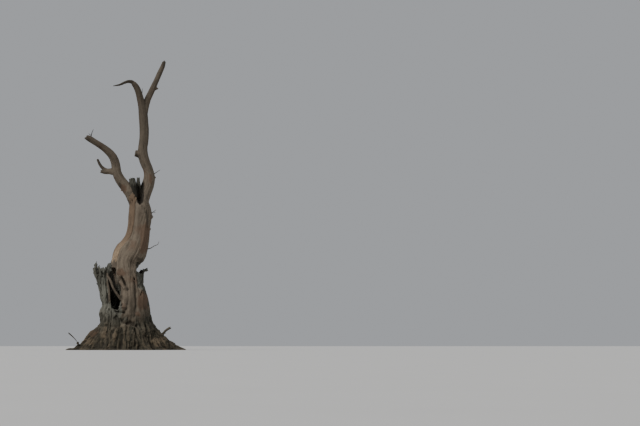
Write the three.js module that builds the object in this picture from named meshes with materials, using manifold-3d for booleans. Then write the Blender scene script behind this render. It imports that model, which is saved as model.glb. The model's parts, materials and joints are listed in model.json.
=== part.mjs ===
// A dead desert poplar, seven metres tall: a broad hollow bole, broken off round its rim, and one
// barkless stem that leans out of it and forks into two bare boughs. Millimetres, +Z up, with the
// origin in the flat cut at ground level and +Y away from the side that shows the hollow.
import * as THREE from "three";
import { mergeVertices } from "three/addons/utils/BufferGeometryUtils.js";
import Module from "manifold-3d";

const wasm = await Module();
wasm.setup();

// Driving sizes. A station is [x, y, z, radius] on a limb's middle line, and a fifth number, where
// there is one, stretches the section from front to back.
const clearance = 0.3; // between neighbouring pieces
const windowDepth = [-950, -260]; // how far the opening in the bole's front runs, along Y
const rimLow = 1540; // height of the broken rim where no tooth of it stands

// The stem, from inside the foot up to the fork.
const stem = {
  sides: 24,
  seed: 3,
  lump: 0.035,
  stations: [
    [70, 15, -60, 560],
    [95, -15, 430, 515],
    [115, -50, 900, 452],
    [100, -90, 1230, 404],
    [70, -125, 1480, 348],
    [20, -140, 1740, 318],
    [-20, -145, 1990, 318],
    [40, -140, 2165, 348],
    [125, -130, 2310, 338],
    [230, -110, 2580, 275],
    [270, -100, 2865, 254],
    [290, -90, 3150, 270],
    [265, -70, 3435, 228],
    [260, -60, 3570, 170],
    [255, -60, 3650, 80],
  ],
};

// The old bole round the stem: middle and radius at each height.
const bole = {
  sides: 72,
  rows: 20,
  crowd: 1.3, // above 1, the rows lie closer together near the ground
  sunk: 1350, // height of the middle of its broken top
  flutes: [
    { count: 7, depth: 0.022, twist: 0.0012 },
    { count: 12, depth: 0.011, twist: -0.0006 },
  ],
  notch: 9, // how far the rotted layers step in and out up the side
  stations: [
    [40, 20, 0, 850],
    [45, 25, 220, 765],
    [40, 30, 505, 685],
    [15, 35, 640, 628],
    [-35, 40, 915, 590],
    [-55, 45, 1190, 556],
    [-75, 50, 1330, 528],
    [-115, 50, 1470, 510],
    [-125, 50, 1600, 536],
    [-145, 50, 1745, 562],
    [-160, 50, 2010, 585],
  ],
};

// Surface roots: bearing from +X towards +Y, reach past the bole at the ground, height where the root
// leaves the bole, and half its width in degrees at that height.
const roots = [
  { bearing: -4, reach: 530, rise: 640, spread: 15 },
  { bearing: -31, reach: 240, rise: 420, spread: 11 },
  { bearing: -57, reach: 190, rise: 330, spread: 10 },
  { bearing: -119, reach: 250, rise: 460, spread: 12 },
  { bearing: -148, reach: 290, rise: 430, spread: 12 },
  { bearing: 182, reach: 550, rise: 600, spread: 14 },
  { bearing: 158, reach: 230, rise: 380, spread: 9 },
  { bearing: 127, reach: 330, rise: 500, spread: 14 },
  { bearing: 92, reach: 210, rise: 380, spread: 12 },
  { bearing: 63, reach: 340, rise: 470, spread: 13 },
  { bearing: 28, reach: 260, rise: 430, spread: 12 },
];
const rootNarrowing = 0.35; // share of its width that a root loses by the time it meets the ground
const rootDip = 1.7; // above 1, a root's back sags between the bole and the ground

// Lumps and dents of the bole: bearing, height, half sizes in degrees and in height, and how far each
// stands out.
const lumps = [
  { bearing: -88, height: 290, spread: 17, tall: 210, out: 92 },
  { bearing: -83, height: 330, spread: 6, tall: 95, out: -84 },
  { bearing: -85, height: 620, spread: 15, tall: 60, out: -58 },
  { bearing: -133, height: 850, spread: 15, tall: 170, out: 48 },
  { bearing: -43, height: 850, spread: 15, tall: 160, out: 46 },
  { bearing: -60, height: 560, spread: 8, tall: 120, out: -46 },
  { bearing: -108, height: 700, spread: 7, tall: 130, out: -40 },
  { bearing: 130, height: 640, spread: 17, tall: 200, out: 66 },
  { bearing: 52, height: 900, spread: 18, tall: 230, out: 58 },
  { bearing: 88, height: 1160, spread: 10, tall: 300, out: -52 },
  { bearing: 184, height: 1020, spread: 28, tall: 120, out: -85 },
  { bearing: 184, height: 670, spread: 24, tall: 95, out: -75 },
  { bearing: -70, height: 1560, spread: 32, tall: 520, out: -118 }, // bares the stem's front
];

// Teeth of the broken rim: bearing in degrees from +X towards +Y, height over rimLow, half width.
const rimTeeth = [
  { bearing: 4, rise: 275, spread: 22 },
  { bearing: 34, rise: 300, spread: 16 },
  { bearing: 58, rise: 130, spread: 10 },
  { bearing: 78, rise: 60, spread: 7 },
  { bearing: 112, rise: 420, spread: 21 },
  { bearing: 133, rise: 345, spread: 10 },
  { bearing: 152, rise: 340, spread: 18 },
  { bearing: 183, rise: 350, spread: 20 },
  { bearing: 216, rise: 350, spread: 21 },
  { bearing: 232, rise: 305, spread: 9 },
  { bearing: 247, rise: 425, spread: 17 },
  { bearing: 300, rise: 240, spread: 34 },
];

// The rotted space inside the bole, open at the top.
const hollow = {
  sides: 20,
  seed: 11,
  lump: 0.06,
  stations: [
    [-140, 60, 800, 110],
    [-170, 75, 960, 220],
    [-205, 90, 1250, 300],
    [-220, 95, 1560, 350],
    [-225, 95, 1850, 395],
    [-225, 95, 2200, 400],
  ],
};

// The cave that the opening leads into, eaten out of the stem's own flank.
const cave = {
  sides: 14,
  seed: 14,
  lump: 0.08,
  stations: [
    [-195, -330, 890, 60],
    [-190, -250, 990, 120],
    [-180, -190, 1220, 170],
    [-225, -185, 1500, 185],
    [-275, -195, 1740, 160],
    [-290, -215, 1880, 70],
  ],
};

// Outline of the opening in the bole's front, seen from the front: [x, z].
const windowOutline = [
  [-390, 1845],
  [-312, 1872],
  [-224, 1845],
  [-215, 1690],
  [-182, 1500],
  [-112, 1230],
  [-86, 1050],
  [-140, 925],
  [-225, 905],
  [-320, 1010],
  [-365, 1330],
  [-385, 1610],
];

// Slivers of sound wood left across the opening.
const windowRibs = [
  {
    sides: 7,
    seed: 5,
    stations: [
      [-420, -415, 1680, 32],
      [-355, -470, 1590, 24],
      [-280, -500, 1405, 21],
      [-205, -495, 1280, 25],
      [-90, -430, 1130, 38],
    ],
  },
  {
    sides: 7,
    seed: 8,
    stations: [
      [-415, -415, 1540, 26, 1.4],
      [-368, -450, 1350, 20, 1.8],
      [-350, -460, 1120, 20, 1.8],
      [-305, -450, 900, 34, 1.4],
    ],
  },
];

// Slits where the stem's wood has opened: middle, half sizes, and turn about Y in degrees.
const slits = [
  { at: [-46, -468, 1560], half: [27, 110, 140], turn: 27 },
  { at: [186, -462, 1612], half: [20, 80, 48], turn: 20 },
  { at: [356, -396, 1290], half: [18, 70, 90], turn: -8 },
];

// The nick in the stem's right side, just over the rim.
const nick = { at: [345, -150, 1835], half: [125, 420, 120], turn: 0 };

// The rot cleft behind the broken leader, in the crotch.
const cleft = {
  sides: 10,
  seed: 2,
  lump: 0.1,
  stations: [
    [285, -345, 3330, 12, 2],
    [275, -300, 3440, 58, 2.2],
    [260, -270, 3620, 76, 2],
    [230, -255, 3800, 62, 2],
    [195, -240, 3960, 30, 2.4],
    [180, -235, 4060, 40, 2.4],
  ],
};

const leftBough = {
  sides: 16,
  seed: 21,
  lump: 0.05,
  jag: 26,
  stations: [
    [190, -80, 3400, 165],
    [110, -100, 3545, 150],
    [-10, -125, 3725, 133],
    [-180, -170, 3920, 119],
    [-270, -205, 4085, 106],
    [-300, -250, 4280, 96],
    [-360, -305, 4435, 91],
    [-480, -350, 4565, 83],
    [-615, -390, 4660, 75],
    [-775, -430, 4750, 72],
    [-905, -455, 4820, 71],
    [-975, -465, 4850, 54],
  ],
};
const leftSpur = {
  sides: 12,
  seed: 24,
  lump: 0.07,
  stations: [
    [-285, -220, 4110, 88],
    [-400, -190, 4120, 76],
    [-500, -165, 4140, 58],
    [-580, -150, 4190, 44],
    [-645, -140, 4260, 36],
    [-690, -130, 4340, 31],
    [-720, -120, 4410, 22],
  ],
};
const leftSpurStub = {
  sides: 10,
  seed: 26,
  lump: 0.08,
  jag: 16,
  stations: [
    [-400, -190, 4115, 62],
    [-510, -190, 4100, 52],
    [-575, -200, 4100, 44],
    [-630, -210, 4105, 33],
  ],
};
const rightBough = {
  sides: 18,
  seed: 31,
  lump: 0.05,
  stations: [
    [270, -50, 3400, 180],
    [330, -20, 3560, 162],
    [405, 20, 3725, 150],
    [470, 55, 3900, 143],
    [495, 85, 4070, 134],
    [455, 95, 4250, 122],
    [375, 85, 4420, 127],
    [320, 65, 4595, 124],
    [315, 50, 4745, 112],
    [340, 30, 4960, 108],
    [345, 20, 5175, 106],
    [325, 10, 5390, 104],
    [300, 0, 5590, 102],
    [270, -10, 5745, 92],
    [215, -60, 5955, 86],
    [170, -110, 6090, 80],
    [120, -160, 6180, 71],
    [60, -200, 6250, 58],
  ],
};
const rightArm = {
  sides: 14,
  seed: 36,
  lump: 0.05,
  jag: 20,
  stations: [
    [320, 5, 5520, 84],
    [350, 30, 5720, 80],
    [395, 60, 5905, 74],
    [465, 110, 6080, 72],
    [540, 170, 6275, 69],
    [610, 230, 6465, 62],
    [680, 290, 6660, 64],
    [750, 350, 6845, 58],
    [780, 385, 6960, 42],
  ],
};
const hook = {
  sides: 10,
  seed: 38,
  lump: 0.06,
  stations: [
    [95, -175, 6220, 50],
    [40, -210, 6265, 46],
    [-65, -260, 6265, 34],
    [-160, -310, 6215, 28],
    [-260, -360, 6150, 22],
    [-405, -425, 6100, 7],
  ],
};

// The broken leader between the boughs, in two pieces.
const leaderLeft = {
  sides: 14,
  seed: 41,
  lump: 0.06,
  jag: 44,
  stations: [
    [190, -120, 3480, 130],
    [170, -140, 3640, 118, 1.1],
    [130, -150, 3790, 96, 1.2],
    [100, -150, 3880, 82, 1.2],
    [90, -150, 3960, 78, 1.2],
  ],
};
const leaderRight = {
  sides: 10,
  seed: 44,
  lump: 0.08,
  jag: 30,
  stations: [
    [260, -110, 3560, 90],
    [250, -120, 3740, 66, 1.3],
    [235, -125, 3880, 46, 1.6],
    [230, -125, 3985, 36, 1.7],
  ],
};

// Knots and blunt stubs, fused to the limb that they stand on.
const stemKnots = [
  {
    sides: 10,
    seed: 51,
    jag: 10,
    stations: [
      [430, -100, 3080, 110],
      [505, -100, 3105, 86],
      [550, -105, 3130, 52],
    ],
  },
  {
    sides: 8,
    seed: 52,
    stations: [
      [470, -100, 2790, 30],
      [520, -105, 2795, 24],
      [540, -105, 2800, 15],
    ],
  },
];
const rightBoughKnots = [
  {
    sides: 12,
    seed: 53,
    jag: 14,
    stations: [
      [300, 60, 4590, 105],
      [215, 40, 4600, 84],
      [150, 30, 4605, 70],
    ],
  },
  {
    sides: 8,
    seed: 54,
    stations: [
      [540, 80, 4040, 44],
      [605, 80, 4050, 34],
      [640, 75, 4060, 20],
    ],
  },
];
const rightArmKnots = [
  {
    sides: 8,
    seed: 55,
    stations: [
      [565, 170, 6225, 44],
      [610, 165, 6240, 32],
      [650, 160, 6235, 16],
    ],
  },
];
const leftBoughKnots = [
  {
    sides: 8,
    seed: 56,
    stations: [
      [-60, -130, 3740, 46],
      [-120, -140, 3705, 26],
      [-160, -145, 3675, 14],
    ],
  },
];

// Slabs that stand up from the old bole's rim, and dead roots that stick up from its flare.
const snags = [
  {
    sides: 10,
    seed: 61,
    lump: 0.1,
    stations: [
      [-630, -60, 1600, 44, 1.9],
      [-670, -60, 1760, 62, 2.1],
      [-690, -60, 1870, 58, 2],
      [-690, -50, 1945, 34, 1.8],
      [-675, -45, 2015, 9],
    ],
  },
  {
    sides: 9,
    seed: 63,
    lump: 0.1,
    jag: 14,
    stations: [
      [-625, -190, 1690, 46, 1.5],
      [-680, -195, 1790, 46, 1.5],
      [-720, -200, 1845, 34, 1.4],
    ],
  },
  {
    sides: 11,
    seed: 65,
    lump: 0.1,
    jag: 18,
    stations: [
      [340, -60, 1560, 60, 1.7],
      [360, -60, 1740, 56, 1.7],
      [400, -60, 1830, 46, 1.4],
      [485, -55, 1840, 36, 1.3],
    ],
  },
  {
    sides: 9,
    seed: 71,
    lump: 0.08,
    jag: 12,
    stations: [
      [850, -100, 330, 46],
      [905, -105, 410, 36],
      [970, -125, 470, 30],
      [1040, -150, 520, 32],
    ],
  },
  {
    sides: 8,
    seed: 73,
    lump: 0.08,
    stations: [
      [-1010, -70, 120, 36],
      [-1070, -90, 215, 27],
      [-1150, -115, 300, 20],
      [-1250, -150, 390, 11],
    ],
  },
];

// Bare twigs, each a stem and, on some, a side shoot.
const twigLeftTip = {
  sides: 6,
  seed: 81,
  stations: [
    [-870, -450, 4830, 13],
    [-865, -450, 4900, 12],
    [-850, -470, 4960, 9],
    [-820, -495, 5035, 5],
  ],
};
const twigLeftTipShoot = {
  sides: 5,
  seed: 82,
  stations: [
    [-865, -450, 4900, 8],
    [-900, -455, 4915, 7],
    [-925, -460, 4940, 4],
  ],
};
const twigBend = {
  sides: 6,
  seed: 83,
  stations: [
    [540, 75, 4100, 14],
    [630, 60, 4160, 10],
    [735, 20, 4230, 5],
  ],
};
const twigMiddle = {
  sides: 6,
  seed: 85,
  stations: [
    [470, -100, 3150, 13],
    [560, -110, 3180, 11],
    [600, -130, 3205, 8],
    [655, -165, 3250, 4],
  ],
};
const twigMiddleShoot = {
  sides: 5,
  seed: 86,
  stations: [
    [590, -125, 3200, 8],
    [620, -130, 3185, 6],
    [645, -135, 3190, 4],
  ],
};
const twigLow = {
  sides: 6,
  seed: 87,
  stations: [
    [370, -90, 2295, 18],
    [480, -100, 2330, 15],
    [555, -130, 2350, 11],
    [620, -160, 2395, 9],
    [710, -195, 2430, 7],
    [735, -220, 2500, 4],
  ],
};
const twigUpper = {
  sides: 6,
  seed: 89,
  stations: [
    [230, -50, 5960, 11],
    [270, -50, 6040, 8],
    [275, -35, 6175, 4],
  ],
};

// Where each bough leaves the solid that carries it, as a place along its stations.
const leftBoughStart = 2.15;
const rightBoughStart = 2.3;
const spurStart = 1.35;
const spurStubStart = 1.2;
const armStart = 2.15;
const crotchEnd = 13.1; // where the right bough's own solid ends and its upper left arm begins
const hookStart = 1.15;

// A repeatable number from 0 to 1.
function chance(seed) {
  const s = Math.sin(seed * 127.1 + 311.7) * 43758.5453;
  return s - Math.floor(s);
}

// The share by which a section swells at an angle: a few slow waves that turn along the limb.
function swell(angle, along, seed, lump) {
  const wave = (count, turn, part) =>
    part * Math.cos(count * angle + turn * along + 6.283 * chance(seed + count));
  return lump * (wave(2, 0.7, 1) + wave(3, -0.9, 0.8) + wave(5, 1.3, 0.45));
}

// A three.js geometry as a solid: its shared vertices are merged first.
function solid(geometry) {
  geometry.deleteAttribute("normal");
  geometry.deleteAttribute("uv");
  const merged = mergeVertices(geometry, 1e-3);
  return new wasm.Manifold(
    new wasm.Mesh({
      numProp: 3,
      vertProperties: new Float32Array(merged.attributes.position.array),
      triVerts: new Uint32Array(merged.index.array),
    }),
  );
}

// Moves every point of a geometry to where a function puts it.
function reshape(geometry, place) {
  const spots = geometry.attributes.position;
  const point = new THREE.Vector3();
  for (let i = 0; i < spots.count; i++) {
    point.fromBufferAttribute(spots, i);
    place(point);
    spots.setXYZ(i, point.x, point.y, point.z);
  }
  return geometry;
}

// A closed tapering tube along a limb's stations, from one place along them to another.
function limb(form, from = 0, to = form.stations.length - 1, grow = 0) {
  const { stations, sides, seed, lump = 0.05, jag = 0 } = form;
  const last = stations.length - 1;
  const middle = new THREE.CatmullRomCurve3(
    stations.map(([x, y, z]) => new THREE.Vector3(x, y, z)),
  );
  const girth = new THREE.CatmullRomCurve3(
    stations.map(([, , , r, stretch = 1]) => new THREE.Vector3(r, stretch, 0)),
    false,
    "catmullrom",
    0.5,
  );
  const rows = Math.max(2, Math.round((to - from) * (sides > 6 ? 2 : 1)));
  const rings = Array.from({ length: rows + 1 }, (_, row) => {
    const along = from + ((to - from) * row) / rows;
    const t = Math.min(1, along / last);
    const ahead = middle.getTangent(t);
    const front = new THREE.Vector3(0, -1, 0).addScaledVector(ahead, ahead.y).normalize();
    const across = new THREE.Vector3().crossVectors(front, ahead);
    return { along, ahead, front, across, at: middle.getPoint(t), size: girth.getPoint(t) };
  });
  rings[0].at.addScaledVector(rings[0].ahead, (from > 0 ? clearance : 0) - grow);
  rings[rows].at.addScaledVector(rings[rows].ahead, grow);
  const tube = new THREE.CylinderGeometry(1, 1, 1, sides, rows);
  reshape(tube, (point) => {
    const row = Math.round((point.y + 0.5) * rows);
    const ring = rings[row];
    const angle = Math.atan2(point.x, point.z);
    const onWall = Math.hypot(point.x, point.z) > 0.5;
    const reach = (ring.size.x + grow) * (1 + swell(angle, ring.along, seed, lump));
    const torn = row === rows && to === last && onWall ? jag : 0;
    const number = Math.round((angle / (2 * Math.PI)) * sides + sides) % sides;
    const offFront = onWall ? reach * Math.cos(angle) * ring.size.y : 0;
    const offAcross = onWall ? reach * Math.sin(angle) : 0;
    point
      .copy(ring.at)
      .addScaledVector(ring.front, offFront)
      .addScaledVector(ring.across, offAcross)
      .addScaledVector(ring.ahead, torn * (2 * chance(seed + 7 * number) - 0.6));
  });
  return solid(turnedOut(tube));
}

// A limb from end to end, and a limb from one place along it to its tip.
const whole = (form, grow = 0) => limb(form, 0, form.stations.length - 1, grow);
const past = (form, from, grow = 0) => limb(form, from, form.stations.length - 1, grow);

// CylinderGeometry's x, y, z become across, ahead and front, which is a mirrored order: each face is
// turned round so that it points outwards again.
function turnedOut(geometry) {
  const corners = geometry.index.array;
  for (let i = 0; i < corners.length; i += 3) {
    [corners[i + 1], corners[i + 2]] = [corners[i + 2], corners[i + 1]];
  }
  return geometry;
}

// A stretched ball.
function ball({ at, half, turn }) {
  const shape = new THREE.SphereGeometry(1, 14, 9);
  shape.scale(...half);
  shape.rotateY(THREE.MathUtils.degToRad(-turn));
  shape.translate(...at);
  return solid(shape);
}

// The bole's middle and radius at one height, between the stations that are given.
function boleAt(height) {
  const rows = bole.stations;
  let k = 0;
  while (k < rows.length - 2 && height > rows[k + 1][2]) k++;
  const share = THREE.MathUtils.clamp((height - rows[k][2]) / (rows[k + 1][2] - rows[k][2]), 0, 1);
  return rows[k].map((value, i) => THREE.MathUtils.lerp(value, rows[k + 1][i], share));
}

// The share of a bell curve that is left at a bearing this far from its middle.
function bell(bearing, middle, spread) {
  const off = ((bearing - middle + 540) % 360) - 180;
  return Math.exp(-((off / spread) ** 2));
}

// Distance of the bole's side from its middle, on a bearing and at a height.
function boleReach(bearing, height) {
  const angle = THREE.MathUtils.degToRad(bearing);
  const r = boleAt(height)[3];
  let reach = r + bole.notch * Math.sin(0.047 * height + 2 * angle);
  for (const { count, depth, twist } of bole.flutes) {
    reach += r * depth * Math.cos(count * (angle + twist * height));
  }
  for (const { bearing: middle, reach: past, rise, spread } of roots) {
    const left = Math.max(0, 1 - height / rise); // 1 at the ground, 0 where the root leaves the bole
    const half = spread * (1 - rootNarrowing * left);
    reach += past * left ** rootDip * bell(bearing, middle, half);
  }
  for (const { bearing: middle, height: at, spread, tall, out } of lumps) {
    reach += out * bell(bearing, middle, spread) * Math.exp(-(((height - at) / tall) ** 2));
  }
  return reach;
}

// Height of the broken rim on a bearing.
function rimAt(bearing) {
  const teeth = rimTeeth.map((tooth) => tooth.rise * bell(bearing, tooth.bearing, tooth.spread));
  const ragged = 16 * Math.sin(0.41 * bearing) + 13 * Math.sin(0.87 * bearing + 2);
  return rimLow + Math.max(...teeth) + ragged;
}

// The old bole as one block: its side follows the stations and its top the broken rim.
function oldBole(grow = 0) {
  const { sides, rows, sunk, crowd } = bole;
  const block = new THREE.CylinderGeometry(1, 1, 1, sides, rows);
  reshape(block, (point) => {
    const up = (point.y + 0.5) ** crowd;
    const onWall = Math.hypot(point.x, point.z) > 0.5;
    const angle = Math.atan2(-point.z, point.x);
    const bearing = (THREE.MathUtils.radToDeg(angle) + 360) % 360;
    const height = up * ((onWall ? rimAt(bearing) : sunk) + 4 * grow);
    const [x, y] = boleAt(height);
    const reach = onWall ? boleReach(bearing, height) + grow : 0;
    point.set(x + reach * Math.cos(angle), y + reach * Math.sin(angle), height);
  });
  return solid(block);
}

// The opening in the bole's front, as a block to cut away.
function windowBlock() {
  const [near, far] = windowDepth;
  const edge = new THREE.SplineCurve(
    [...windowOutline, windowOutline[0]].map(([x, z]) => new THREE.Vector2(x, z)),
  );
  const outline = new THREE.Shape(edge.getPoints(26).slice(0, -1));
  const block = new THREE.ExtrudeGeometry(outline, { depth: far - near, bevelEnabled: false });
  block.rotateX(Math.PI / 2); // the outline's y becomes height, and its depth runs towards -Y
  block.translate(0, far, 0);
  return solid(block);
}

const joined = (solids) => solids.reduce((whole, next) => whole.add(next));
const ground = (block) => block.trimByPlane([0, 0, 1], 0);

// The whole trunk. A larger one by grow makes room round it for the pieces that stand on it.
function trunkSolid(grow = 0) {
  const shell = oldBole(grow).subtract(limb(hollow));
  const core = joined([
    whole(stem, grow),
    limb(leftBough, 0, leftBoughStart, grow),
    limb(rightBough, 0, rightBoughStart, grow),
    ...stemKnots.map((one) => whole(one, grow)),
  ]).subtract(ball(nick));
  const cut = [windowBlock(), limb(cave), limb(cleft), ...slits.map(ball)];
  const carved = cut.reduce((left, tool) => left.subtract(tool), shell.add(core));
  const slivers = [...windowRibs, ...snags].map((one) => limb(one));
  return ground(joined([carved, ...slivers])).simplify(0.05);
}

// The largest of a solid's separate bodies: a cut can leave crumbs.
function largest(block) {
  return block.decompose().reduce((best, next) => (next.volume() > best.volume() ? next : best));
}

const finishes = {
  barkless: { color: 0x857868, roughness: 0.85, metalness: 0 },
  weathered: { color: 0x776b5c, roughness: 0.9, metalness: 0 },
  rotten: { color: 0x4a4238, roughness: 0.95, metalness: 0 },
  twig: { color: 0x57504a, roughness: 0.9, metalness: 0 },
};
const tree = new THREE.Group();

// Adds a solid to the tree as a named mesh.
function add(name, block, finish) {
  const { numProp, vertProperties, triVerts, numVert } = largest(block).getMesh();
  const spots = new Float32Array(numVert * 3);
  for (let i = 0; i < numVert; i++) {
    spots.set(vertProperties.subarray(i * numProp, i * numProp + 3), i * 3);
  }
  const geometry = new THREE.BufferGeometry()
    .setAttribute("position", new THREE.BufferAttribute(spots, 3))
    .setIndex(new THREE.BufferAttribute(new Uint32Array(triVerts), 1));
  geometry.computeVertexNormals();
  const mesh = new THREE.Mesh(geometry, new THREE.MeshStandardMaterial(finishes[finish]));
  mesh.name = name;
  tree.add(mesh);
}

const room = trunkSolid(clearance);

add("trunk", trunkSolid(), "weathered");

const leftBoughSolid = (grow) =>
  joined([
    past(leftBough, leftBoughStart, grow),
    limb(leftSpur, 0, spurStart, grow),
    ...leftBoughKnots.map((one) => whole(one, grow)),
  ]);
const leftSpurSolid = (grow) =>
  past(leftSpur, spurStart, grow).add(limb(leftSpurStub, 0, spurStubStart, grow));
add("left_bough", leftBoughSolid(0).subtract(room), "barkless");
add("left_spur", leftSpurSolid(0).subtract(leftBoughSolid(clearance)), "barkless");
add(
  "left_spur_stub",
  past(leftSpurStub, spurStubStart)
    .subtract(leftSpurSolid(clearance))
    .subtract(leftBoughSolid(clearance)),
  "rotten",
);

const rightBoughSolid = (grow) =>
  joined([
    limb(rightBough, rightBoughStart, crotchEnd, grow),
    limb(rightArm, 0, armStart, grow),
    ...rightBoughKnots.map((one) => whole(one, grow)),
  ]);
const upperLeftSolid = (grow) =>
  past(rightBough, crotchEnd, grow).add(limb(hook, 0, hookStart, grow));
const upperRightSolid = (grow) =>
  joined([past(rightArm, armStart, grow), ...rightArmKnots.map((one) => whole(one, grow))]);
add("right_bough", rightBoughSolid(0).subtract(room), "barkless");
add(
  "upper_left_arm",
  upperLeftSolid(0).subtract(rightBoughSolid(clearance)).subtract(upperRightSolid(clearance)),
  "barkless",
);
add("upper_right_arm", upperRightSolid(0).subtract(rightBoughSolid(clearance)), "barkless");
add("hooked_tip", past(hook, hookStart).subtract(upperLeftSolid(clearance)), "barkless");

const leaders = { leader_stub_left: leaderLeft, leader_stub_right: leaderRight };
const cleftRoom = whole(cleft, clearance);
const boughRoom = leftBoughSolid(clearance).add(rightBoughSolid(clearance));
let leaderRoom = room.add(boughRoom);
for (const [name, form] of Object.entries(leaders)) {
  add(name, whole(form).subtract(leaderRoom).subtract(cleftRoom), "rotten");
  leaderRoom = leaderRoom.add(whole(form, clearance));
}

const leftTip = whole(twigLeftTip).add(whole(twigLeftTipShoot));
add("twig_left_tip", leftTip.subtract(leftBoughSolid(clearance)), "twig");
add("twig_right_bend", whole(twigBend).subtract(rightBoughSolid(clearance)), "twig");
add("twig_middle", whole(twigMiddle).add(whole(twigMiddleShoot)).subtract(room), "twig");
add("twig_low", whole(twigLow).subtract(room), "twig");
add("twig_upper", whole(twigUpper).subtract(upperLeftSolid(clearance)), "twig");

export default tree;
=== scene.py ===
import json
import math
import random

import bpy
import numpy as np
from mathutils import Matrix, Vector, kdtree, noise
from mathutils.bvhtree import BVHTree

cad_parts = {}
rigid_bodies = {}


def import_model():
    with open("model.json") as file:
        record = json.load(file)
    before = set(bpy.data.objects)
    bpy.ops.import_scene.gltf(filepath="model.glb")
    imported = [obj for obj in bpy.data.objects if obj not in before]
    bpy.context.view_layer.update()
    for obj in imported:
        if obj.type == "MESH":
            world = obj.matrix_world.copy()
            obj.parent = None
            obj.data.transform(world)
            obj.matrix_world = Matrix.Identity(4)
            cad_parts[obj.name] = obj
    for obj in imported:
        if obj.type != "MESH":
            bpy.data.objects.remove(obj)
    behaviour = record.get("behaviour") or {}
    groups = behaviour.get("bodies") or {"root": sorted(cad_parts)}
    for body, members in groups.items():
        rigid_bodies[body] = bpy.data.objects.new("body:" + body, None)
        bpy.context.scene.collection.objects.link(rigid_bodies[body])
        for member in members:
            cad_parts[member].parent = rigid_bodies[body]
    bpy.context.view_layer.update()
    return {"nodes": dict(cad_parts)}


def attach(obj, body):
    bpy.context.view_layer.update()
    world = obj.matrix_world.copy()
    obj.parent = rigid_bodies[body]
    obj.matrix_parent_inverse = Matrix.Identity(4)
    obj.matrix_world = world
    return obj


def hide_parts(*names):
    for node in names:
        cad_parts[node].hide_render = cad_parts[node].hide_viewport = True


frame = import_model()
scene = bpy.context.scene

# The camera stands where the photograph was taken from: 23.6 m off, low down, turned a little right.
view = {
    "eye": (0.0, -23.635, 0.091),
    "turn": 10.989,  # degrees right of +Y
    "tilt": 7.576,  # degrees up
    "focalPixels": 1000,
    "framePixels": 640,
    "sensor": 36.0,
}
lens = bpy.data.cameras.new("camera")
lens.sensor_width = view["sensor"]
lens.lens = view["focalPixels"] / view["framePixels"] * view["sensor"]
lens.clip_end = 500
camera = bpy.data.objects.new("camera", lens)
camera.location = view["eye"]
camera.rotation_euler = (math.radians(90 + view["tilt"]), 0, math.radians(-view["turn"]))
scene.collection.objects.link(camera)
scene.camera = camera


def pick(*pieces):
    bpy.ops.object.select_all(action="DESELECT")
    for piece in pieces:
        piece.select_set(True)
    bpy.context.view_layer.objects.active = pieces[0]


def applied(piece, kind, **settings):
    pick(piece)
    made = piece.modifiers.new(kind, kind)
    for name, value in settings.items():
        setattr(made, name, value)
    bpy.ops.object.modifier_apply(modifier=made.name)


# A CAD node's mesh as a new piece, with its loose triangles joined up.
def nodeCopy(node, name):
    piece = bpy.data.objects.new(name, frame["nodes"][node].data.copy())
    scene.collection.objects.link(piece)
    piece.data.materials.clear()
    pick(piece)
    bpy.ops.object.mode_set(mode="EDIT")
    bpy.ops.mesh.select_all(action="SELECT")
    bpy.ops.mesh.remove_doubles(threshold=0.00002)
    bpy.ops.object.mode_set(mode="OBJECT")
    return piece


# One field of all of a mesh's points, edges, faces or corners.
def fieldOf(rows, field, wide=1, kind=float):
    values = np.zeros(len(rows) * wide, dtype=kind)
    rows.foreach_get(field, values)
    return values.reshape(-1, wide) if wide > 1 else values


def pointsOf(piece, what="co"):
    return fieldOf(piece.data.vertices, what, 3)


def movePoints(piece, points):
    piece.data.vertices.foreach_set("co", points.ravel())
    piece.data.update()


# A value or a place for each point, kept in the mesh for its material to read.
def keep(piece, name, values):
    kind, field = ("FLOAT_VECTOR", "vector") if values.ndim == 2 else ("FLOAT", "value")
    piece.data.attributes.new(name, kind, "POINT").data.foreach_set(field, values.ravel())


# 0 below the low value, 1 above the high one, and a soft rise between.
def ramp(values, low, high):
    t = np.clip((values - low) / (high - low), 0, 1)
    return t * t * (3 - 2 * t)


# For values of each point, the mean of what its neighbours have.
def neighbourMean(piece, values):
    a, b = fieldOf(piece.data.edges, "vertices", 2, np.int64).T
    count = len(values)
    total = [np.bincount(a, v[b], count) + np.bincount(b, v[a], count) for v in values.T]
    shared = np.bincount(a, minlength=count) + np.bincount(b, minlength=count)
    return np.stack(total, 1) / shared[:, None]


# Takes the flat facets off without shrinking the piece: one step in, one step a little further out.
def rounded(piece, steps, back=-0.53, low=-1, high=99):
    points = pointsOf(piece)
    part = ramp(points[:, 2], low, low + 0.2) * (1 - ramp(points[:, 2], high - 0.2, high))
    for step in range(2 * steps):
        share = 0.5 if step % 2 == 0 else back
        points += share * part[:, None] * (neighbourMean(piece, points) - points)
    movePoints(piece, points)


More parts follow.
